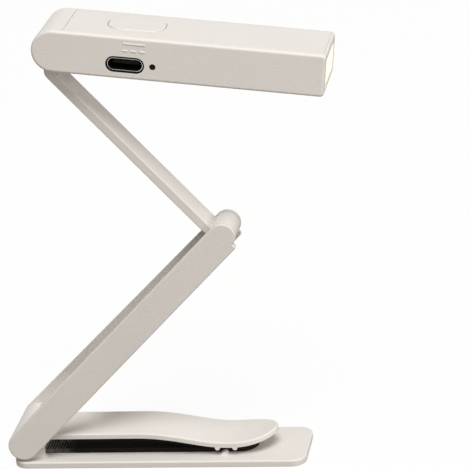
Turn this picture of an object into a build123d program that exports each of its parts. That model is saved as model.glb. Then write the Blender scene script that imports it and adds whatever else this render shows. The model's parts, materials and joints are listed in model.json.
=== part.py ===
from build123d import *
from math import acos, atan2, cos, degrees, radians, sin, tan
import os

# A folding clip-on reading light, in millimetres.
# X runs the way the head points, Y runs away from the charge socket side, Z is up.
# The origin is the middle of the base plate's underside.

# Base plate
base_length = 77.35
body_width = 20.0
base_thickness = 1.8
base_corner = 3.8
base_top_round = 0.45
base_bottom_round = 0.25
rib_length = 1.9
rib_width = 1.8
rib_drop = 0.6

# Base hinge
base_pin_inset = 3.3
base_pin_height = 6.38
base_pin_radius = 1.0
ear_radius = 2.6
ear_thickness = 1.8
ear_inset = 4.2
ear_reach = 4.75
ear_shoulder = 5.2
ear_foot_round = 1.0

# Lower arm
arm_angle = 44.0
arm_length = 79.85
arm_depth = 7.9
arm_tip_width = 10.8
arm_wall = 1.4
arm_web = 1.0
arm_edge_round = 0.4
arm_hood = 0.8
arm_hood_start = 28.0
arm_hood_end = 100.0
arm_web_start = 24.35
arm_web_notch = 3.6
arm_lip = 0.3
arm_lip_round = 0.5
elbow_rise = 0.6
elbow_pin_radius = 0.9
elbow_boss_radius = 2.4

# Upper arm
upper_angle = 130.3
upper_length = 63.2
upper_offset = 5.15
upper_width = 7.8
upper_thickness = 2.3
upper_plate_rise = 0.95
upper_edge_round = 0.3
elbow_lug_width = 7.2
hub_radius = 4.2
neck_bend = 40.4
neck_bend_round = 2.4
neck_width = 2.6
neck_foot = 1.8

# Head
head_angle = -7.6
head_length = 72.6
head_depth = 10.7
head_wall = 1.5
head_floor = 1.27
head_side_round = 0.7
head_end_corner = 1.0
head_pin_radius = 1.0
head_pin_cover = 0.8
pin_end_gap = 0.25
pin_chamfer = 0.15
head_slot_end = 6.6
head_slot_rise = 142.0
head_slot_flare = 2.2
cover_thickness = 1.15
cover_margin = 1.0
cover_end_margin = 0.7
cover_corner = 0.8
cover_start = 2.2
cover_edge = 0.08

# Clip lever
clip_inset = 3.1
clip_thickness = 1.4
clip_rise = 2.02
clip_shoulder = 30.55
clip_drop_end = 52.55
clip_drop = 2.9
clip_reach = 66.15
clip_tip_lift = 1.9
clip_tip_length = 10.5
clip_knuckle_radius = 2.1
clip_tooth_height = 0.75
clip_tooth_width = 1.3
clip_tooth_gap = 4.6
clip_edge_round = 0.45
spring_gap = 6.4

# Pads
base_pad_width = 9.0
base_pad_thickness = 1.3
base_pad_start = 4.15
base_pad_end = 60.75
clip_pad_width = 11.0
clip_pad_thickness = 1.4
clip_pad_start = 9.05
clip_pad_end = 44.05

# Clip spring
spring_wire = 0.5
spring_radius = 1.55
spring_turns = 5.0
spring_pitch = 1.1

# Friction washers
washer_thickness = 0.3
washer_radius = 2.3
washer_play = 0.02

# Button
button_length = 14.2
button_width = 10.6
button_corner = 4.4
button_along = 19.1
button_across = 1.0
button_proud = 0.25
button_travel = 0.35
button_flange = 0.6
button_flange_thickness = 0.6
button_post_radius = 1.6
button_edge_round = 0.3

# Charge socket and its board
socket_along = 18.19
socket_width = 8.94
socket_height = 3.26
socket_depth = 7.35
socket_wall = 0.25
socket_cutout_gap = 0.25
socket_tongue_width = 6.7
socket_tongue_thickness = 0.7
socket_tongue_length = 4.3
socket_back = 0.6
socket_inset = 0.15
board_thickness = 0.8
board_length = 44.0

# Indicator
indicator_along = 25.05
indicator_radius = 0.78
indicator_recess = 0.9
indicator_pipe_length = 1.4
indicator_led_size = 1.6

# Tactile switch
switch_size = 4.4
switch_height = 3.6
switch_across = 1.9
switch_stem_radius = 0.9
switch_stem_height = 0.7
switch_foot = 1.0
switch_corner = 0.5

# Battery
battery_length = 22.0
battery_side_gap = 0.7
battery_thickness = 5.6
battery_start = 30.5
battery_round = 1.2

# Light engine at the end of the head
lens_side = 2.1
lens_height = 7.0
lens_corner = 1.0
lens_flange = 0.5
lens_flange_thickness = 0.8
lens_inset = 0.1
lens_edge_round = 0.4
reflector_length = 6.0
reflector_wall = 0.7
reflector_mouth_wall = 0.3
reflector_taper = 1.4
reflector_throat_height = 3.4
led_board_thickness = 0.8
led_size = 2.0
led_height = 0.6
led_count = 4

# Clearances
running_gap = 0.3
seat_gap = 0.05
pin_play = 0.03
cap_gap = 0.15
lug_gap = 0.17
overlap = 0.1

# Sizes that follow from the values above
half_width = body_width / 2
base_pin_x = base_pin_inset - base_length / 2
arm_round = arm_depth / 2
elbow_knuckle = arm_round - elbow_rise
head_round = head_depth / 2
head_end = head_length - head_round
ear_inner = half_width - ear_inset
ear_outer = ear_inner + ear_thickness
slot_half = upper_width / 2 + running_gap
arm_tip = arm_length + elbow_knuckle
cover_seat = head_round - cover_thickness
head_inside = half_width - head_wall
head_back = head_slot_end + 2 * head_wall
clip_width = body_width - 2 * clip_inset
clip_lug_outer = ear_inner - lug_gap
board_top = head_floor - head_round + seat_gap + board_thickness
socket_level = board_top + socket_height / 2
socket_front = socket_inset - half_width
socket_rear = socket_front + socket_depth
board_half = head_inside - running_gap
battery_half = head_inside - battery_side_gap
lens_width = body_width - 2 * lens_side
reflector_throat_width = lens_width - 2 * reflector_taper
led_spacing = reflector_throat_width / led_count
lens_back = head_end - head_wall - lens_flange_thickness
led_face = lens_back - reflector_length - 2 * seat_gap - led_height


def slab(sketch, y_low, y_high):
    """A side profile, drawn in X and Z, given its thickness along Y."""
    return Pos(0, (y_low + y_high) / 2, 0) * extrude(Plane.XZ * sketch, (y_high - y_low) / 2, both=True)


def rod(radius, x, z, y_low, y_high):
    return slab(Pos(x, z) * Circle(radius), y_low, y_high)


def block(x_low, x_high, y_low, y_high, z_low, z_high):
    middle = Pos((x_low + x_high) / 2, (y_low + y_high) / 2, (z_low + z_high) / 2)
    return middle * Box(x_high - x_low, y_high - y_low, z_high - z_low)


def area(x_low, x_high, z_low, z_high):
    return Pos((x_low + x_high) / 2, (z_low + z_high) / 2) * Rectangle(x_high - x_low, z_high - z_low)


def outline(*points):
    return make_face(Polyline(*points, close=True))


def plan(sketch, z_low, z_high):
    """A plan outline, drawn in X and Y, given its height along Z."""
    return Pos(0, 0, z_low) * extrude(sketch, z_high - z_low)


def nearest(shape, x, z):
    return shape.vertices().sort_by_distance((x, z, 0))[0]


def tangent_point(centre, radius, point):
    """Where a line from the point touches the circle, on its upper side."""
    away = (point[0] - centre[0], point[1] - centre[1])
    reach = (away[0] ** 2 + away[1] ** 2) ** 0.5
    angle = atan2(away[1], away[0]) + acos(radius / reach)
    return (centre[0] + radius * cos(angle), centre[1] + radius * sin(angle))


def turned(x, z, angle):
    """A point of a tilted piece, as an offset in X and Z from its pivot."""
    a = radians(angle)
    return (x * cos(a) - z * sin(a), x * sin(a) + z * cos(a))


elbow_offset = turned(arm_length, elbow_rise, arm_angle)
elbow_x = base_pin_x + elbow_offset[0]
elbow_z = base_pin_height + elbow_offset[1]
head_offset = turned(upper_length, -upper_offset, upper_angle)
head_x = elbow_x + head_offset[0]
head_z = elbow_z + head_offset[1]

clip_place = Pos(base_pin_x, 0, base_pin_height)
arm_place = Pos(base_pin_x, 0, base_pin_height) * Rot(0, -arm_angle, 0)
upper_place = Pos(elbow_x, 0, elbow_z) * Rot(0, -upper_angle, 0)
head_place = Pos(head_x, 0, head_z) * Rot(0, -head_angle, 0)


# Base

def ear_profile():
    pin = (base_pin_x, base_pin_height)
    shoulder = (base_pin_x + ear_reach, ear_shoulder)
    left = base_pin_x - ear_radius
    foot = base_thickness / 2
    touch = tangent_point(pin, ear_radius, shoulder)
    side = outline((left, foot), (shoulder[0], foot), shoulder, touch, pin, (left, base_pin_height))
    root = (shoulder[0] + ear_foot_round, base_thickness + ear_foot_round)
    side += area(shoulder[0], root[0], foot, root[1]) - Pos(*root) * Circle(ear_foot_round)
    return side + Pos(*pin) * Circle(ear_radius)


def locating_rib():
    """A low round rib on each side of the pad, under the gap between the clip's two teeth."""
    x = base_pin_x + clip_drop_end
    start = base_pad_width / 2 + seat_gap
    top = base_thickness + base_pad_thickness - rib_drop
    profile = Pos(x, top - rib_width / 2) * Circle(rib_width / 2)
    rib = slab(profile, start, start + rib_length)
    rib &= block(x - rib_width, x + rib_width, start, start + rib_length, base_thickness / 2, 2 * top)
    return rib + mirror(rib, Plane.XZ)


def make_base_plate():
    plate = plan(RectangleRounded(base_length, body_width, base_corner), 0, base_thickness)
    plate = fillet(plate.edges().group_by(Axis.Z)[-1], base_top_round)
    plate = fillet(plate.edges().group_by(Axis.Z)[0], base_bottom_round)
    ear = slab(ear_profile(), ear_outer - ear_thickness, ear_outer)
    plate += ear + mirror(ear, Plane.XZ) + locating_rib()
    return plate - rod(base_pin_radius + pin_play, base_pin_x, base_pin_height, -half_width, half_width)


def make_base_pad():
    """The rubber strip that the pages lie on, with a rounded free end."""
    start = base_pin_x + base_pad_start
    end = base_pin_x + base_pad_end - base_pad_width / 2
    half = base_pad_width / 2
    strip = area(start, end, -half, half) + Pos(end, 0) * Circle(half)
    return plan(strip, base_thickness, base_thickness + base_pad_thickness)


def blind_pin(radius, x, z, near, far):
    """A plain steel pin with both ends chamfered. Its near end stops inside the wall."""
    pin = rod(radius, x, z, near, far)
    return chamfer(pin.edges().filter_by(GeomType.CIRCLE), pin_chamfer)


def make_base_pin():
    near = arm_wall / 2 - half_width
    return blind_pin(base_pin_radius, base_pin_x, base_pin_height, near, half_width - pin_end_gap)


# Clip lever, drawn from its pin

def clip_line(lift):
    """The clip's top line, moved up by lift: flat, then down to the pages, then up at the tip."""
    high = clip_rise + lift
    low = high - clip_drop
    points = [(clip_shoulder, high), (clip_drop_end, low), (clip_reach, low + clip_tip_lift)]
    return points, [(1, -0.02), (1, -0.04), (1, 0.3)]


def clip_band(start, lift, thickness):
    """A strip under the clip's top line, moved up by lift, from start to the tip."""
    points, slopes = clip_line(lift)
    first, last = points[0], points[-1]
    curve = Spline(*points, tangents=slopes)
    high = Line((start, first[1]), first)
    tip = Line(last, (last[0], last[1] - thickness))
    low = Line((start, first[1] - thickness), (first[0], first[1] - thickness))
    back = Line((start, first[1]), (start, first[1] - thickness))
    return make_face([high, curve, tip, Pos(0, -thickness) * curve, low, back])


def clip_plan():
    """The clip seen from above: narrow between the ears, wide past them, round at the tip."""
    wide = clip_width / 2
    body_start = ear_reach + running_gap
    body_end = clip_reach - clip_tip_length
    shape = area(-clip_knuckle_radius, body_start + overlap, -clip_lug_outer, clip_lug_outer)
    shape += area(body_start, body_end, -wide, wide)
    return shape + Pos(body_end, 0) * Ellipse(clip_tip_length, wide)


def clip_knuckle():
    """Two lugs on the pin, joined to the strip, with the spring between them."""
    lug = Circle(clip_knuckle_radius)
    lug += outline((0, -clip_knuckle_radius), (ear_reach, clip_rise - clip_thickness), (ear_reach, clip_rise),
                   (0, clip_rise))
    side = slab(lug, spring_gap / 2, clip_lug_outer)
    return side + mirror(side, Plane.XZ)


def clip_teeth():
    """Two bars across the underside that bite the pages."""
    root = clip_rise - clip_drop - clip_thickness / 2
    low = clip_rise - clip_drop - clip_thickness - clip_tooth_height + clip_tooth_width / 2
    reach = clip_width / 2
    teeth = Part()
    for x in (clip_drop_end - clip_tooth_gap / 2, clip_drop_end + clip_tooth_gap / 2):
        profile = area(x, x + clip_tooth_width, low, root)
        profile += Pos(x + clip_tooth_width / 2, low) * Circle(clip_tooth_width / 2)
        teeth += slab(profile, -reach, reach)
    return teeth


def make_clip_lever():
    strip = slab(clip_band(ear_reach, 0, clip_thickness), -half_width, half_width)
    lever = strip & plan(clip_plan(), -half_width, half_width)
    top = lever.faces().filter_by(lambda face: face.normal_at().Z > 0.5)
    rim = top.edges().filter_by(Axis.Y, reverse=True)
    lever = fillet(rim.filter_by(lambda edge: abs(edge.center().Y) > overlap), clip_edge_round)
    lever += clip_teeth() + clip_knuckle()
    lever -= rod(base_pin_radius + pin_play, 0, 0, -half_width, half_width)
    return clip_place * lever


def make_clip_pad():
    """The rubber strip under the clip. It ends where the clip dips to the pages."""
    band = clip_band(clip_pad_start, -clip_thickness - washer_play, clip_pad_thickness)
    band &= area(clip_pad_start, clip_pad_end, -body_width, body_width)
    return clip_place * slab(band, -clip_pad_width / 2, clip_pad_width / 2)


def make_clip_spring():
    """A torsion spring round the pin. Its leg stands on the plate, its other end is by the clip's lug."""
    span = spring_pitch * spring_turns
    path = Helix(spring_pitch, span, spring_radius)
    coil = sweep(Plane(path @ 0, z_dir=path % 0) * RegularPolygon(spring_wire / 2, 8), path)
    low = base_thickness + seat_gap - base_pin_height
    high = spring_wire / 2
    foot = Pos(spring_radius, span / 2 - overlap, (low + high) / 2) * Cylinder(spring_wire / 2, high - low)
    return clip_place * (Pos(0, span / 2, 0) * Rot(90, 0, 0) * coil + foot)


# Lower arm, drawn from the base pin with its length along X

def arm_half_width(x):
    """Half the arm's width at a distance from the base pin. It narrows towards the elbow."""
    share = (x + arm_round) / (arm_tip + arm_round)
    return half_width + share * (arm_tip_width / 2 - half_width)


def arm_profile():
    side = Circle(arm_round) + area(0, arm_length + arm_lip, -arm_round, arm_round)
    side = fillet(nearest(side, arm_length + arm_lip, -arm_round), arm_lip_round)
    corner = area(arm_length, arm_length + 2 * elbow_knuckle, elbow_rise, 2 * arm_round)
    return side - corner + Pos(arm_length, elbow_rise) * Circle(elbow_knuckle)


def arm_plan(x_low, x_high, inset):
    low = arm_half_width(x_low) - inset
    high = arm_half_width(x_high) - inset
    return outline((x_low, -low), (x_high, -high), (x_high, high), (x_low, low))


def arm_room(x_low, x_high, z_low, z_high):
    """Space between the two side walls."""
    return plan(arm_plan(x_low, x_high, arm_wall), z_low, z_high)


def arm_bosses():
    """Round seats for the friction washers, inside the walls at both pins."""
    base_seat = ear_outer + washer_thickness + 2 * washer_play
    tip_seat = elbow_lug_width / 2 + washer_thickness + 2 * washer_play
    base_wall = arm_half_width(0) - arm_wall / 2
    tip_wall = arm_half_width(arm_length) - arm_wall / 2
    boss = rod(ear_radius, 0, 0, base_seat, base_wall)
    boss += rod(elbow_boss_radius, arm_length, elbow_rise, tip_seat, tip_wall)
    return boss + mirror(boss, Plane.XZ)


def arm_hood_profile():
    """The closed round over the hinge, as an arc between its two ends."""
    far = 2 * arm_round
    ends = [turned(far, 0, angle) for angle in (arm_hood_start, arm_hood_end)]
    corner = turned(far, far, arm_hood_start)
    ring = Circle(arm_round) - Circle(arm_round - arm_hood)
    return ring & outline((0, 0), ends[0], corner, ends[1])


def make_lower_arm():
    arm = slab(arm_profile(), -half_width, half_width)
    arm &= plan(arm_plan(-arm_round, arm_tip, 0), -arm_depth, arm_depth)
    sides = arm.faces().sort_by(Axis.Y)
    arm = fillet(sides[0].edges() + sides[-1].edges(), arm_edge_round)
    arm -= arm_room(-arm_depth, arm_web_start, -arm_depth, arm_depth)
    arm -= arm_room(arm_web_start - overlap, arm_tip + 1, arm_web - arm_round, arm_depth)
    arm -= arm_room(arm_length - arm_web_notch, arm_tip + 1, -arm_depth, arm_depth)
    arm += arm_bosses()
    hood_reach = half_width - arm_wall + overlap
    arm += slab(arm_hood_profile(), -hood_reach, hood_reach)
    far = half_width + 1
    arm -= rod(base_pin_radius + pin_play, 0, 0, arm_wall / 2 - half_width - seat_gap, far)
    near = arm_wall / 2 - arm_half_width(arm_length) - seat_gap
    arm -= rod(elbow_pin_radius + pin_play, arm_length, elbow_rise, near, far)
    return arm_place * arm


def make_elbow_pin():
    reach = arm_half_width(arm_length)
    pin = blind_pin(elbow_pin_radius, arm_length, elbow_rise, arm_wall / 2 - reach, reach - pin_end_gap)
    return arm_place * pin


def washer_pair(bore, x, z, inner):
    ring = Circle(washer_radius) - Circle(bore + 2 * pin_play)
    washer = slab(Pos(x, z) * ring, inner + washer_play, inner + washer_play + washer_thickness)
    return Compound(children=[washer, mirror(washer, Plane.XZ)])


def make_base_washers():
    return arm_place * washer_pair(base_pin_radius, 0, 0, ear_outer)


def make_elbow_washers():
    return arm_place * washer_pair(elbow_pin_radius, arm_length, elbow_rise, elbow_lug_width / 2)


# Upper arm, drawn from the elbow pin with its length along X

def neck_points():
    """The gooseneck that carries the plate, set off below the head, up to the hub."""
    bend = radians(neck_bend)
    outer = upper_plate_rise + upper_thickness
    touch = (upper_length + hub_radius * sin(bend), hub_radius * cos(bend) - upper_offset)
    corner = (touch[0] - (outer - touch[1]) / tan(bend), outer)
    inner_foot = (corner[0] - neck_width, upper_plate_rise)
    inner_top = (inner_foot[0] + neck_foot, -upper_offset)
    return corner, touch, inner_top, inner_foot


def upper_profile():
    outer = upper_plate_rise + upper_thickness
    corner, touch, inner_top, inner_foot = neck_points()
    back = corner[0] - 2 * neck_width
    neck = outline((back, outer), corner, touch, (upper_length, -upper_offset), inner_top, inner_foot,
                   (back, upper_plate_rise))
    side = area(0, back, upper_plate_rise, outer) + neck
    side = fillet(nearest(side, *corner), neck_bend_round)
    return side + Circle(outer) + Pos(upper_length, -upper_offset) * Circle(hub_radius)


def make_upper_arm():
    arm = slab(upper_profile(), -upper_width / 2, upper_width / 2)
    sides = arm.faces().sort_by(Axis.Y)
    arm = fillet(sides[0].edges() + sides[-1].edges(), upper_edge_round)
    cheek = elbow_lug_width / 2
    reach = 2 * (upper_plate_rise + upper_thickness)
    for y_low, y_high in ((-half_width, -cheek), (cheek, half_width)):
        arm -= rod(washer_radius + running_gap, 0, 0, y_low, y_high)
        arm -= block(-reach, 0, y_low, y_high, -reach, reach)
    arm -= rod(elbow_pin_radius + pin_play, 0, 0, -half_width, half_width)
    arm -= rod(head_pin_radius + pin_play, upper_length, -upper_offset, -half_width, half_width)
    return upper_place * arm


# Head, drawn from its pin with its length along X

def head_profile():
    side = Circle(head_round) + area(0, head_end, -head_round, head_round)
    side = fillet(nearest(side, head_end, head_round), head_end_corner)
    return fillet(nearest(side, head_end, -head_round), head_end_corner)


def slot_profile():
    """The arm's path round the closed end: from under the head up to the top of the round."""
    far = 2 * head_round
    rise = radians(head_slot_rise)
    front = head_slot_end - neck_foot
    edge = (-far, -far * tan(rise))
    opening = outline((0, 0), (front, 0), (front + head_slot_flare, -far), (-far, -far), edge)
    return opening + Circle(hub_radius + running_gap)


def socket_outline(grow):
    width = socket_width + 2 * grow
    height = socket_height + 2 * grow
    return Pos(socket_along, socket_level) * RectangleRounded(width, height, height / 2 - 0.05)


def cover_plan(gap):
    x_high = head_end - cover_end_margin - gap
    x_low = cover_start + gap
    width = body_width - 2 * (cover_margin + gap)
    return Pos((x_low + x_high) / 2, 0) * RectangleRounded(x_high - x_low, width, cover_corner)


def lens_profile(grow):
    return RectangleRounded(lens_width + 2 * grow, lens_height + 2 * grow, lens_corner)


def along_head(sketch, x_low, x_high):
    """A section of the light end, drawn in Y and Z, from x_low to x_high."""
    return extrude(Plane.YZ.offset(x_low) * sketch, x_high - x_low)


def make_head_housing():
    shell = slab(head_profile(), -half_width, half_width)
    sides = shell.faces().sort_by(Axis.Y)
    shell = fillet(sides[0].edges() + sides[-1].edges(), head_side_round)
    shell -= block(head_back, head_end - head_wall, -head_inside, head_inside,
                   head_floor - head_round, cover_seat + overlap)
    shell -= plan(cover_plan(0), cover_seat, head_depth)
    shell -= slab(slot_profile(), -slot_half, slot_half)
    shell -= rod(head_pin_radius + pin_play, 0, 0, head_pin_cover - half_width - seat_gap, body_width)
    shell -= slab(socket_outline(socket_cutout_gap), -body_width, overlap - head_inside)
    shell -= rod(indicator_radius, indicator_along, socket_level, -body_width, overlap - head_inside)
    shell -= along_head(lens_profile(seat_gap), lens_back, head_length)
    return head_place * shell


def button_plan(grow):
    size = RectangleRounded(button_length + 2 * grow, button_width + 2 * grow, button_corner + grow)
    return Pos(button_along, button_across) * size


def make_head_cover():
    cover = plan(cover_plan(seat_gap), cover_seat + washer_play, head_round)
    cover = chamfer(cover.edges().group_by(Axis.Z)[-1], cover_edge)
    return head_place * (cover - plan(button_plan(cap_gap), 0, head_depth))


def make_head_pin():
    near = head_pin_cover - half_width
    return head_place * blind_pin(head_pin_radius, 0, 0, near, half_width - pin_end_gap)


def make_head_washers():
    """Thin washers between the hub and the head's cheeks."""
    ring = Circle(washer_radius) - Circle(head_pin_radius + 2 * pin_play)
    start = upper_width / 2 + washer_play
    washer = slab(ring, start, slot_half - washer_play)
    return head_place * Compound(children=[washer, mirror(washer, Plane.XZ)])


def make_button_cap():
    """A shallow dish of a key with a flange that keeps it in, and a post over the switch."""
    top = head_round + button_proud
    under = cover_seat - running_gap
    cap = plan(button_plan(0), under, top)
    cap = fillet(cap.edges().group_by(Axis.Z)[-1], button_edge_round)
    flange = plan(button_plan(button_flange), under - button_flange_thickness, under)
    stem_top = board_top + switch_height + switch_stem_height + seat_gap
    post = plan(Pos(button_along, switch_across) * Circle(button_post_radius), stem_top, under)
    return head_place * (cap + flange + post)


def make_tactile_switch():
    base = board_top + seat_gap
    square = Pos(button_along, switch_across) * RectangleRounded(switch_size, switch_size, switch_corner)
    body = plan(square, base, board_top + switch_height - button_travel - seat_gap)
    bore = Circle(switch_stem_radius + seat_gap)
    well = plan(Pos(button_along, switch_across) * bore, base + switch_foot, head_round)
    return head_place * (body - well)


def make_switch_stem():
    low = board_top + switch_height - 2 * switch_stem_height
    high = board_top + switch_height + switch_stem_height
    stem = plan(Pos(button_along, switch_across) * Circle(switch_stem_radius), low, high)
    return head_place * stem


def make_circuit_board():
    start = head_back + running_gap
    low = board_top - board_thickness
    board = block(start, start + board_length, -board_half, board_half, low, board_top)
    return head_place * board


def make_charge_socket_shell():
    tube = socket_outline(0) - socket_outline(-socket_wall)
    back = slab(socket_outline(0), socket_rear - socket_back, socket_rear)
    return head_place * (slab(tube, socket_front, socket_rear) + back)


def make_charge_socket_tongue():
    tongue = Pos(socket_along, socket_level) * Rectangle(socket_tongue_width, socket_tongue_thickness)
    rear = socket_rear - socket_back - seat_gap
    root = rear - socket_back
    blade = slab(tongue, root - socket_tongue_length, rear)
    return head_place * (blade + slab(socket_outline(-socket_wall - seat_gap), root, rear))


def make_indicator_light():
    near = indicator_recess - half_width
    pipe = rod(indicator_radius - seat_gap, indicator_along, socket_level, near, near + indicator_pipe_length)
    return head_place * pipe


def make_indicator_led():
    near = indicator_recess - half_width + indicator_pipe_length + seat_gap
    half = indicator_led_size / 2
    chip = block(indicator_along - half, indicator_along + half, near, near + half, board_top + seat_gap,
                 socket_level + half)
    return head_place * chip


def make_battery():
    low = board_top + seat_gap * 2
    cell = block(battery_start, battery_start + battery_length, -battery_half, battery_half, low,
                 low + battery_thickness)
    return head_place * fillet(cell.edges().filter_by(Axis.X), battery_round)


def make_light_lens():
    front = along_head(lens_profile(0), lens_back, head_end - lens_inset)
    front = fillet(front.edges().group_by(Axis.X)[-1], lens_edge_round)
    flange = RectangleRounded(lens_width + 2 * lens_flange, lens_height, lens_corner)
    return head_place * (front + along_head(flange, lens_back, head_end - head_wall - seat_gap))


def make_reflector():
    """A tapered box open at both ends, that gathers the light of the row of chips."""
    wide = Plane.YZ.offset(lens_back - seat_gap)
    narrow = Plane.YZ.offset(lens_back - seat_gap - reflector_length)
    trim = 2 * reflector_mouth_wall
    grow = 2 * reflector_wall
    mouth = Rectangle(lens_width, lens_height)
    throat = Rectangle(reflector_throat_width + grow, reflector_throat_height + grow)
    inner_mouth = Rectangle(lens_width - trim, lens_height - trim)
    inner_throat = Rectangle(reflector_throat_width, reflector_throat_height)
    outer = loft([narrow * throat, wide * mouth])
    return head_place * (outer - loft([narrow * inner_throat, wide * inner_mouth]))


def make_led_board():
    width = reflector_throat_width + 2 * reflector_wall
    height = reflector_throat_height + 2 * reflector_wall
    board = block(led_face - led_board_thickness, led_face, -width / 2, width / 2, -height / 2, height / 2)
    return head_place * board


def make_led_chips():
    first = -(led_count - 1) / 2 * led_spacing
    low = led_face + washer_play
    half = led_size / 2
    chips = []
    for i in range(led_count):
        y = first + i * led_spacing
        chips.append(block(low, low + led_height, y - half, y + half, -half, half))
    return head_place * Compound(children=chips)


nodes = {
    "base_plate": make_base_plate,
    "base_pad": make_base_pad,
    "base_pin": make_base_pin,
    "clip_lever": make_clip_lever,
    "clip_pad": make_clip_pad,
    "clip_spring": make_clip_spring,
    "lower_arm": make_lower_arm,
    "elbow_pin": make_elbow_pin,
    "base_friction_washers": make_base_washers,
    "elbow_friction_washers": make_elbow_washers,
    "upper_arm": make_upper_arm,
    "head_housing": make_head_housing,
    "head_cover": make_head_cover,
    "head_pin": make_head_pin,
    "head_friction_washers": make_head_washers,
    "button_cap": make_button_cap,
    "tactile_switch": make_tactile_switch,
    "switch_stem": make_switch_stem,
    "circuit_board": make_circuit_board,
    "charge_socket_shell": make_charge_socket_shell,
    "charge_socket_tongue": make_charge_socket_tongue,
    "indicator_light": make_indicator_light,
    "indicator_led": make_indicator_led,
    "battery": make_battery,
    "light_lens": make_light_lens,
    "reflector": make_reflector,
    "led_board": make_led_board,
    "led_chips": make_led_chips,
}

os.makedirs("parts", exist_ok=True)
for name, make in nodes.items():
    export_step(make(), f"parts/{name}.step")

print("base pin", round(base_pin_x, 4), base_pin_height)
print("elbow", round(elbow_x, 4), round(elbow_z, 4))
print("head", round(head_x, 4), round(head_z, 4))
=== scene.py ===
import json
from math import cos, radians, sin

import bmesh
import bpy
from mathutils import Matrix, Vector


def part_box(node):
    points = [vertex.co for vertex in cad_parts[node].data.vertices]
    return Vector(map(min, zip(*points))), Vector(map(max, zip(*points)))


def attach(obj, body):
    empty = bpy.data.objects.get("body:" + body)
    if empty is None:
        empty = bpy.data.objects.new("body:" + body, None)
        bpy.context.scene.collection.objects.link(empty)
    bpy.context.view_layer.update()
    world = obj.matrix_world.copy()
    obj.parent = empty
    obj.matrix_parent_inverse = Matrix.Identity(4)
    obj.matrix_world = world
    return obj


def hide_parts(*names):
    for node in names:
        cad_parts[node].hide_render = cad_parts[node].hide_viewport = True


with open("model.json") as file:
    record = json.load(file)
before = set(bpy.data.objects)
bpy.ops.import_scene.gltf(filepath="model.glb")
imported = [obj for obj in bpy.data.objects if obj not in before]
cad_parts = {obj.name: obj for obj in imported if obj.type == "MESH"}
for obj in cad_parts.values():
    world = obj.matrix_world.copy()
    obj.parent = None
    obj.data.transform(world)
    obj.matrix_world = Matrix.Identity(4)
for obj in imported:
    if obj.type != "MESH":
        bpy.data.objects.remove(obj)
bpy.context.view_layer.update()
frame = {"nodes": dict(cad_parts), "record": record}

# The pieces' lengths are in millimetres, those of the studio in metres
MM = 0.001

# Camera, fitted to the photograph's outline
PICTURE_PIXELS = 470
FOCAL_PIXELS = 2515.2
CAMERA_TARGET = Vector((24.026, 0, 60.56)) * MM
CAMERA_DISTANCE = 636.1 * MM
CAMERA_AZIMUTH = radians(10.607)
CAMERA_ELEVATION = radians(21.300)
CAMERA_ROLL = radians(5.262)
SENSOR = 36.0
NEAR_CLIP = 0.01
FAR_CLIP = 50.0

# Studio: a softbox high in front, a weaker one low on the right, and a warm room
ROOM_COLOUR = (1.0, 0.91, 0.79)
ROOM_STRENGTH = 0.29
WHITE = (1.0, 1.0, 1.0)
KEY_PLACE = (0.34, -1.08, 2.41)
KEY_SIZE = 1.6
KEY_POWER = 52.0
SIDE_PLACE = (0.66, -0.38, 0.145)
SIDE_SIZE = 0.27
SIDE_POWER = 1.75

# Floor: white to the eye, darker to the light that it sends back up
FLOOR_SIZE = 6.0
FLOOR_DROP = 0.05 * MM
FLOOR_SEEN = (0.97, 0.97, 0.97)
FLOOR_BOUNCE = (0.21, 0.18, 0.15)
FLOOR_GLOW = 0.94
FLOOR_ROUGH = 0.9
FLOOR_SPECULAR = 0.1

# Colours of the mouldings, and how much paler or darker two of them are painted: light painted on the head's shell
# plastic, shade on the lower arm's
SHELL = (0.790, 0.765, 0.735)
TOP = (0.800, 0.778, 0.752)
ARM_PAINTED_SHADE = 0.955
HEAD_PAINTED_LIGHT = 1.035
PAD_BLACK = (0.011, 0.009, 0.0075)
# Painted shade: the black of the gap round the charge socket and of the socket's inside
SOCKET_SHADE_BLACK = (0.004, 0.004, 0.004)
CONTACT_GOLD = (0.95, 0.80, 0.58)
MASK_GREEN = ((0.010, 0.085, 0.035), (0.016, 0.12, 0.05))
MILK = ((0.86, 0.80, 0.66), (0.92, 0.87, 0.75))
LENS_LIGHT = ((1.0, 0.80, 0.50), (1.0, 0.88, 0.64))
LENS_GLOW = 0.55
PHOSPHOR = ((0.75, 0.55, 0.12), (0.9, 0.72, 0.2))
CHIP_LIGHT = ((1.0, 0.72, 0.35), (1.0, 0.85, 0.5))
CHIP_GLOW = 1.0
SMOKE = ((0.006, 0.006, 0.006), (0.012, 0.012, 0.011))

# The band in which most of a noise's values lie
NOISE_BAND = (0.3, 0.7)

# Moulded plastic: the grain's fineness and depth, and its share in the colour's drift
GRAIN_SCALE = 2600.0
GRAIN = 0.02
SHELL_GRAIN = 0.08
HEAD_GRAIN = 0.09
GRAIN_SHARE = 0.6
SHELL_ROUGH = 0.52
FLOW_MARK = 0.02

# The rubber's knurl, drawn as pale painted highlights on its ribs, and where along the plate the painted highlights
# fade out
KNURL_PITCH = 0.36
KNURL_HIGHLIGHT_FADE = (-33.0, -20.0)
KNURL_HIGHLIGHT_COLOUR = (0.42, 0.41, 0.38)
KNURL_BAND = (0.1, 0.6)
KNURL_FLAT = (1, 0.001, 1)
STIPPLE = 0.05

# Steel: depth of its marks, and the way that they run
STEEL_MARK = 0.004
ALONG_Y = (1, 14, 1)
ALONG_X = (14, 1, 1)
FOIL_GRAIN = (1, 3, 1)

# The direct-current symbol by the charge socket, in relief on the head's near side: a line over three dashes
MARK_PROUD = 0.15
MARK_ROOT = 0.02
MARK_WIDTH = 0.46
MARK_LINE = (17.5, 23.2)
MARK_LINE_LEVEL = 3.72
MARK_DASHES = ((17.4, 18.8), (19.4, 21.0), (21.6, 23.1))
MARK_DASH_LEVEL = 1.93
MARK_RISES = (0, 30, 55, 75)

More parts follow.
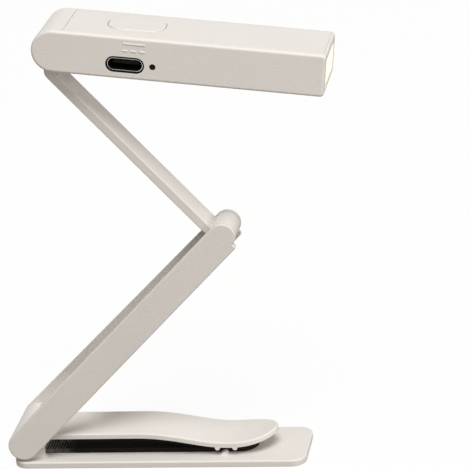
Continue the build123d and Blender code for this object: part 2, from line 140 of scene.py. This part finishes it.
# The charge socket's mouth, from the size of a USB-C opening
MOUTH_ALONG = 18.19
MOUTH_LEVEL = -1.63
MOUTH_WIDTH = 8.94
MOUTH_HEIGHT = 3.26
# Painted shade: a black ring in the cut-out, a thin black lip on the side and a black inside to the tube stand for
# the shadow in the gap round the socket and in its depth
SHADE_RING_GROW = 0.22
SHADE_LIP = 0.37
SHADE_LIP_PROUD = 0.01
SHADE_RING_DEPTH = 0.08
SHADE_RING_END = 1.3
RIM_GROW = -0.05
RIM_WALL = 0.13
RIM_DEPTH = 0.26
TUBE_DEPTH = 6.9
TUBE_END = 7.5

# The contacts on the socket's tongue
CONTACTS = 12
CONTACT_PITCH = 0.5
CONTACT_WIDTH = 0.26
CONTACT_LENGTH = 2.6
CONTACT_THICKNESS = 0.04
TONGUE_DEPTH = 2.0
TONGUE_HALF = 0.35

# The indicator's window
WINDOW_ALONG = 25.05
WINDOW_RADIUS = 0.76
WINDOW_DEPTH = 0.1
WINDOW_BEVEL = 0.06
PIPE_END = 2.3

ROUND_STEPS = 12
MERGE_DISTANCE = 0.00001 * MM

nodes = frame["nodes"]
joints = {joint["name"]: joint for joint in frame["record"]["behaviour"]["joints"]}


# Materials

class Shader:
    """A material whose nodes are added one call at a time."""

    def __init__(self, name):
        self.material = bpy.data.materials.new(name)
        self.material.use_nodes = True
        self.tree = self.material.node_tree
        self.bsdf = self.tree.nodes["Principled BSDF"]

    def set(self, **values):
        """Values for the main shader's own sockets, with _ for each space in a socket's name."""
        for key, value in values.items():
            socket = self.bsdf.inputs[key.replace("_", " ")]
            socket.default_value = (*value, 1) if isinstance(value, tuple) else value
        return self

    def node(self, kind, **values):
        made = self.tree.nodes.new(kind)
        for key, value in values.items():
            setattr(made, key, value)
        return made

    def link(self, source, target):
        self.tree.links.new(source, target)

    def into(self, source, socket):
        """Links a source to a socket of the main shader."""
        self.link(source, self.bsdf.inputs[socket])

    def place(self, stretch=(1, 1, 1)):
        """Object coordinates, stretched if the pattern has a direction."""
        where = self.node("ShaderNodeTexCoord")
        mapping = self.node("ShaderNodeMapping")
        mapping.inputs["Scale"].default_value = stretch
        self.link(where.outputs["Object"], mapping.inputs["Vector"])
        return mapping.outputs["Vector"]

    def noise(self, scale, detail=2.0, stretch=(1, 1, 1)):
        made = self.node("ShaderNodeTexNoise")
        made.inputs["Scale"].default_value = scale
        made.inputs["Detail"].default_value = detail
        self.link(self.place(stretch), made.inputs["Vector"])
        return made.outputs["Fac"]

    def ramp(self, source, colours, band=NOISE_BAND):
        """From the first colour to the second as the source goes through the band."""
        made = self.node("ShaderNodeValToRGB")
        for stop, where, colour in zip(made.color_ramp.elements, band, colours):
            stop.position = where
            stop.color = (*colour, 1)
        self.link(source, made.inputs["Fac"])
        return made.outputs["Color"]

    def span(self, source, low, high, source_low=0.0, source_high=1.0):
        """The source's own range turned into low to high."""
        made = self.node("ShaderNodeMapRange")
        made.inputs["From Min"].default_value = source_low
        made.inputs["From Max"].default_value = source_high
        made.inputs["To Min"].default_value = low
        made.inputs["To Max"].default_value = high
        self.link(source, made.inputs["Value"])
        return made.outputs["Result"]

    def product(self, first, second):
        made = self.node("ShaderNodeMath", operation="MULTIPLY")
        self.link(first, made.inputs[0])
        self.link(second, made.inputs[1])
        return made.outputs["Value"]

    def bump(self, height, depth, strength, under=None):
        """Relief of the given depth in millimetres, over another relief if there is one."""
        made = self.node("ShaderNodeBump")
        made.inputs["Distance"].default_value = depth * MM
        made.inputs["Strength"].default_value = strength
        self.link(height, made.inputs["Height"])
        if under is not None:
            self.link(under, made.inputs["Normal"])
        return made.outputs["Normal"]


def tint(colour, share):
    return tuple(min(1.0, part * share) for part in colour)


def moulded_plastic(name, colour, rough, grain=GRAIN):
    """Satin moulded plastic: a spark-eroded grain, faint flow marks and a little colour drift."""
    s = Shader(name)
    drift = s.node("ShaderNodeMix", data_type="FLOAT")
    drift.inputs["Factor"].default_value = GRAIN_SHARE
    s.link(s.noise(45.0, 3.0), drift.inputs["A"])
    s.link(s.noise(GRAIN_SCALE), drift.inputs["B"])
    s.into(s.ramp(drift.outputs["Result"], (tint(colour, 0.95), tint(colour, 1.045))), "Base Color")
    s.into(s.span(s.noise(160.0, 4.0), rough - 0.06, rough + 0.06), "Roughness")
    fine = s.bump(s.noise(GRAIN_SCALE), grain, 0.6)
    s.into(s.bump(s.noise(70.0), FLOW_MARK, 0.25, under=fine), "Normal")
    return s


def rubber(name, colour):
    """Soft black rubber with a fine stipple, and a knurl of pale painted highlights that fades out away from the
    hinge.
    """
    s = Shader(name)
    s.set(Specular_IOR_Level=0.08)
    knurl = s.node("ShaderNodeTexChecker")
    knurl.inputs["Scale"].default_value = 1 / (KNURL_PITCH * MM)
    s.link(s.place(KNURL_FLAT), knurl.inputs["Vector"])
    along = s.node("ShaderNodeSeparateXYZ")
    s.link(s.place(), along.inputs["Vector"])
    fade = s.span(along.outputs["X"], 1.0, 0.0, KNURL_HIGHLIGHT_FADE[0] * MM, KNURL_HIGHLIGHT_FADE[1] * MM)
    # Painted highlight: pale glints on the knurl, faded out along the plate
    patchy = s.product(s.product(knurl.outputs["Fac"], fade), s.noise(900.0, 5.0))
    s.into(s.ramp(patchy, (colour, KNURL_HIGHLIGHT_COLOUR), KNURL_BAND), "Base Color")
    s.into(s.span(s.noise(400.0, 3.0), 0.62, 0.85), "Roughness")
    s.into(s.bump(s.noise(1800.0, 3.0), STIPPLE, 0.7), "Normal")
    return s


def drawn_steel(name, colour, rough, run=ALONG_Y):
    """Bright steel with fine marks along its length."""
    s = Shader(name)
    s.set(Metallic=1.0)
    marks = s.noise(900.0, 3.0, run)
    s.into(s.ramp(marks, (tint(colour, 0.85), tint(colour, 1.1))), "Base Color")
    s.into(s.span(marks, rough - 0.08, rough + 0.1), "Roughness")
    s.into(s.bump(marks, STEEL_MARK, 0.4), "Normal")
    return s


def circuit_laminate(name):
    """Green solder mask over a faint glass weave."""
    s = Shader(name)
    weave = s.node("ShaderNodeTexBrick")
    weave.inputs["Scale"].default_value = 1800.0
    s.link(s.place(), weave.inputs["Vector"])
    s.into(s.ramp(s.noise(220.0, 3.0), MASK_GREEN), "Base Color")
    s.into(s.bump(weave.outputs["Fac"], 0.01, 0.4), "Normal")
    return s.set(Roughness=0.35)


def diffuser(name):
    """A milky lens lit from behind, a little unevenly."""
    s = Shader(name)
    s.set(Roughness=0.3, Emission_Strength=LENS_GLOW)
    s.into(s.ramp(s.noise(300.0, 4.0), MILK), "Base Color")
    s.into(s.ramp(s.noise(120.0), LENS_LIGHT, (0.25, 0.75)), "Emission Color")
    s.into(s.bump(s.noise(1400.0), 0.02, 0.5), "Normal")
    return s


def phosphor(name):
    """The yellow, lit face of a light chip."""
    s = Shader(name)
    s.set(Roughness=0.5, Emission_Strength=CHIP_GLOW)
    s.into(s.ramp(s.noise(1500.0), PHOSPHOR), "Base Color")
    s.into(s.ramp(s.noise(1500.0), CHIP_LIGHT), "Emission Color")
    return s


def smoked_pipe(name):
    """Smoked plastic, all but black while its light is off."""
    s = Shader(name)
    s.set(Roughness=0.35, Specular_IOR_Level=0.05)
    s.into(s.ramp(s.noise(800.0), SMOKE), "Base Color")
    return s


materials = {
    "shell": moulded_plastic("shell plastic", SHELL, SHELL_ROUGH, SHELL_GRAIN),
    "top_panel": moulded_plastic("top panel plastic", TOP, 0.45),
    "key": moulded_plastic("key plastic", TOP, 0.43),
    "pad_rubber": rubber("pad rubber", PAD_BLACK),
    "pin_steel": drawn_steel("pin steel", (0.55, 0.55, 0.54), 0.3),
    "spring_steel": drawn_steel("spring wire", (0.5, 0.5, 0.48), 0.28),
    "socket_steel": drawn_steel("socket shell", (0.80, 0.80, 0.78), 0.3, ALONG_X),
    "washer": moulded_plastic("washer nylon", (0.62, 0.60, 0.54), 0.5),
    "black_plastic": moulded_plastic("black plastic", (0.008, 0.008, 0.009), 0.6).set(Specular_IOR_Level=0.15),
    "board": circuit_laminate("board laminate"),
    "battery_foil": drawn_steel("battery foil", (0.6, 0.6, 0.61), 0.35, FOIL_GRAIN),
    "diffuser": diffuser("lit diffuser"),
    "reflector_white": moulded_plastic("reflector white", (0.8, 0.8, 0.78), 0.25),
    "phosphor": phosphor("phosphor"),
    "indicator_clear": smoked_pipe("indicator pipe"),
}
# Lit and shaded copies of the shell plastic: painted light on the head, painted shade on the lower arm
own_materials = {
    "lower_arm": moulded_plastic("lower arm plastic", tint(SHELL, ARM_PAINTED_SHADE), SHELL_ROUGH, SHELL_GRAIN),
    "head_housing": moulded_plastic("head plastic", tint(SHELL, HEAD_PAINTED_LIGHT), SHELL_ROUGH, HEAD_GRAIN),
}
painted_socket_shade = moulded_plastic("socket seal", SOCKET_SHADE_BLACK, 0.7).set(Specular_IOR_Level=0.05)
contact_plating = drawn_steel("contact plating", CONTACT_GOLD, 0.45)

for part in frame["record"]["subparts"]:
    shader = own_materials.get(part["node"], materials[part["material_slot"]])
    nodes[part["node"]].data.materials.clear()
    nodes[part["node"]].data.materials.append(shader.material)


# Small pieces on the head's near side

# The head's own axes, from its hinge and from the way the button travels
head_pin = Vector(joints["head_tilt"]["pos_m"])
head_up = -Vector(joints["button_press"]["axis"]).normalized()
head_along = Vector((0, 1, 0)).cross(head_up)
near_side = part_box("head_housing")[0].y


def on_near_side(along, level, depth):
    """A point in millimetres along and above the head's pin, and inwards from its near side."""
    point = head_pin + head_along * along * MM + head_up * level * MM
    return Vector((point.x, near_side + depth * MM, point.z))


def ring(mesh, along, level, half_straight, radius, depth):
    """A loop of points round a slot shape: two half circles, half_straight from its middle."""
    made = []
    for side, start in ((1, -90), (-1, 90)):
        for step in range(ROUND_STEPS + 1):
            a = radians(start + step * 180 / ROUND_STEPS)
            x = along + side * half_straight + radius * cos(a)
            made.append(mesh.verts.new(on_near_side(x, level + radius * sin(a), depth)))
    return made


def skin(mesh, rings, strip_materials):
    """A closed body: faces from each loop to the next, and one over each end."""
    for first, second, material in zip(rings, rings[1:], strip_materials):
        for i in range(len(first)):
            j = (i + 1) % len(first)
            mesh.faces.new((first[i], first[j], second[j], second[i])).material_index = material
    mesh.faces.new(rings[-1])
    mesh.faces.new(rings[0][::-1])


def make_piece(name, mesh, shaders):
    """A piece of the scene's own that moves with the head."""
    bmesh.ops.remove_doubles(mesh, verts=mesh.verts, dist=MERGE_DISTANCE)
    bmesh.ops.recalc_face_normals(mesh, faces=mesh.faces)
    data = bpy.data.meshes.new(name)
    mesh.to_mesh(data)
    mesh.free()
    for shader in shaders:
        data.materials.append(shader.material)
    piece = bpy.data.objects.new(name, data)
    bpy.context.scene.collection.objects.link(piece)
    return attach(piece, "head")


def direct_current_mark():
    """Half-round ridges of the head's own plastic."""
    mesh = bmesh.new()
    radius = MARK_WIDTH / 2
    bars = [(*MARK_LINE, MARK_LINE_LEVEL)] + [(*dash, MARK_DASH_LEVEL) for dash in MARK_DASHES]
    for low, high, level in bars:
        middle, half_straight = (low + high) / 2, (high - low) / 2 - radius
        rings = [ring(mesh, middle, level, half_straight, radius, MARK_ROOT)]
        for rise in MARK_RISES:
            a = radians(rise)
            rings.append(ring(mesh, middle, level, half_straight, radius * cos(a), -MARK_PROUD * sin(a)))
        skin(mesh, rings, [0] * len(MARK_RISES))
    make_piece("direct_current_mark", mesh, [materials["shell"]])


def charge_socket_mouth():
    """The socket's shell: painted shade as a black ring in the housing's cut-out, a thin black lip on the side and a
    black inside to the tube, with a thin bright rim between.
    """
    mesh = bmesh.new()
    # The first material paints the shade of the gap and of the socket's depth, the second is the steel rim
    painted_shade, steel = 0, 1
    inner = RIM_GROW - RIM_WALL
    # How far each loop stands out from the opening, its depth, and the material of the strip up to the next
    profile = (
        (0, TUBE_END, steel), (0, SHADE_RING_END, painted_shade), (SHADE_RING_GROW, SHADE_RING_END, painted_shade), (SHADE_RING_GROW, 0, painted_shade),
        (SHADE_LIP, 0, painted_shade), (SHADE_LIP, -SHADE_LIP_PROUD, painted_shade), (SHADE_RING_GROW, -SHADE_LIP_PROUD, painted_shade),
        (RIM_GROW, SHADE_RING_DEPTH, painted_shade), (RIM_GROW, RIM_DEPTH, steel), (inner, RIM_DEPTH, painted_shade),
        (inner, TUBE_DEPTH, painted_shade),
    )
    half_straight, radius = (MOUTH_WIDTH - MOUTH_HEIGHT) / 2, MOUTH_HEIGHT / 2
    rings = [ring(mesh, MOUTH_ALONG, MOUTH_LEVEL, half_straight, radius + grow, depth) for grow, depth, _ in profile]
    skin(mesh, rings, [material for _, _, material in profile])
    mouth = make_piece("charge_socket_mouth", mesh, [painted_socket_shade, materials["socket_steel"]])
    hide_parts("charge_socket_shell")


def socket_contacts():
    """The row of contacts on the tongue's upper face."""
    mesh = bmesh.new()
    box_faces = ((0, 1, 3, 2), (4, 6, 7, 5), (0, 4, 5, 1), (2, 3, 7, 6), (0, 2, 6, 4), (1, 5, 7, 3))
    for i in range(CONTACTS):
        middle = MOUTH_ALONG + (i - (CONTACTS - 1) / 2) * CONTACT_PITCH
        corners = []
        for x in (middle - CONTACT_WIDTH / 2, middle + CONTACT_WIDTH / 2):
            for depth in (TONGUE_DEPTH, TONGUE_DEPTH + CONTACT_LENGTH):
                for z in (TONGUE_HALF, TONGUE_HALF + CONTACT_THICKNESS):
                    corners.append(mesh.verts.new(on_near_side(x, MOUTH_LEVEL + z, depth)))
        for face in box_faces:
            mesh.faces.new([corners[k] for k in face])
    make_piece("socket_contacts", mesh, [contact_plating])


def indicator_window():
    """The light pipe's smoked end, nearly flush with the side."""
    mesh = bmesh.new()
    profile = (
        (WINDOW_RADIUS, PIPE_END), (WINDOW_RADIUS, WINDOW_DEPTH + WINDOW_BEVEL),
        (WINDOW_RADIUS - WINDOW_BEVEL, WINDOW_DEPTH),
    )
    rings = [ring(mesh, WINDOW_ALONG, MOUTH_LEVEL, 0, radius, depth) for radius, depth in profile]
    skin(mesh, rings, [0] * len(profile))
    window = make_piece("indicator_window", mesh, [materials["indicator_clear"]])
    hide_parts("indicator_light")


direct_current_mark()
charge_socket_mouth()
socket_contacts()
indicator_window()


# Studio

def make_camera():
    az, el, roll = CAMERA_AZIMUTH, CAMERA_ELEVATION, CAMERA_ROLL
    back = Vector((sin(az) * cos(el), -cos(az) * cos(el), sin(el)))
    level = Vector((cos(az), sin(az), 0))
    upright = back.cross(level)
    right = level * cos(roll) - upright * sin(roll)
    up = level * sin(roll) + upright * cos(roll)
    data = bpy.data.cameras.new("camera")
    data.sensor_width = SENSOR
    data.lens = FOCAL_PIXELS * SENSOR / PICTURE_PIXELS
    data.clip_start = NEAR_CLIP
    data.clip_end = FAR_CLIP
    camera = bpy.data.objects.new("camera", data)
    bpy.context.scene.collection.objects.link(camera)
    turn = Matrix((right, up, back)).transposed().to_4x4()
    camera.matrix_world = Matrix.Translation(CAMERA_TARGET + back * CAMERA_DISTANCE) @ turn
    bpy.context.scene.camera = camera


def area_light(name, place, size, power):
    """A round softbox that faces the middle of the picture."""
    data = bpy.data.lights.new(name, "AREA")
    data.shape = "DISK"
    data.size = size
    data.energy = power
    lamp = bpy.data.objects.new(name, data)
    bpy.context.scene.collection.objects.link(lamp)
    aim = (Vector(place) - CAMERA_TARGET).to_track_quat("Z", "Y")
    lamp.matrix_world = Matrix.Translation(place) @ aim.to_matrix().to_4x4()


def seen_directly(tree):
    """1 for rays from the camera and for those that gloss or glass sends on, else 0."""
    path = tree.nodes.new("ShaderNodeLightPath")
    total = path.outputs["Is Camera Ray"]
    for name in ("Is Glossy Ray", "Is Transmission Ray"):
        larger = tree.nodes.new("ShaderNodeMath")
        larger.operation = "MAXIMUM"
        tree.links.new(total, larger.inputs[0])
        tree.links.new(path.outputs[name], larger.inputs[1])
        total = larger.outputs["Value"]
    return total


def make_world():
    """A warm room that lights the object, and a white one behind it."""
    world = bpy.data.worlds.new("studio")
    world.use_nodes = True
    tree = world.node_tree
    light = tree.nodes["Background"]
    light.inputs["Color"].default_value = (*ROOM_COLOUR, 1)
    light.inputs["Strength"].default_value = ROOM_STRENGTH
    seen = tree.nodes.new("ShaderNodeBackground")
    seen.inputs["Color"].default_value = (*WHITE, 1)
    seen.inputs["Strength"].default_value = 1.0
    mix = tree.nodes.new("ShaderNodeMixShader")
    tree.links.new(seen_directly(tree), mix.inputs["Fac"])
    tree.links.new(light.outputs["Background"], mix.inputs[1])
    tree.links.new(seen.outputs["Background"], mix.inputs[2])
    tree.links.new(mix.outputs["Shader"], tree.nodes["World Output"].inputs["Surface"])
    bpy.context.scene.world = world


def make_floor():
    """A white table top that keeps the object's shadow."""
    s = Shader("floor")
    s.set(Roughness=FLOOR_ROUGH, Specular_IOR_Level=FLOOR_SPECULAR)
    seen = seen_directly(s.tree)
    tone = s.node("ShaderNodeMix", data_type="RGBA")
    tone.inputs["A"].default_value = (*FLOOR_BOUNCE, 1)
    tone.inputs["B"].default_value = (*FLOOR_SEEN, 1)
    s.link(seen, tone.inputs["Factor"])
    s.into(tone.outputs["Result"], "Base Color")
    glow = s.node("ShaderNodeEmission")
    glow.inputs["Color"].default_value = (*WHITE, 1)
    glow.inputs["Strength"].default_value = 1.0
    mix = s.node("ShaderNodeMixShader")
    s.link(s.span(seen, 0.0, FLOOR_GLOW), mix.inputs["Fac"])
    s.link(s.bsdf.outputs["BSDF"], mix.inputs[1])
    s.link(glow.outputs["Emission"], mix.inputs[2])
    s.link(mix.outputs["Shader"], s.tree.nodes["Material Output"].inputs["Surface"])
    half = FLOOR_SIZE / 2
    data = bpy.data.meshes.new("floor")
    data.from_pydata([(-half, -half, 0), (half, -half, 0), (half, half, 0), (-half, half, 0)], [], [(0, 1, 2, 3)])
    data.materials.append(s.material)
    floor = bpy.data.objects.new("floor", data)
    bpy.context.scene.collection.objects.link(floor)
    floor.location.z = -FLOOR_DROP


make_camera()
make_world()
make_floor()
area_light("key", KEY_PLACE, KEY_SIZE, KEY_POWER)
area_light("side", SIDE_PLACE, SIDE_SIZE, SIDE_POWER)
bpy.context.scene.view_settings.view_transform = "Standard"
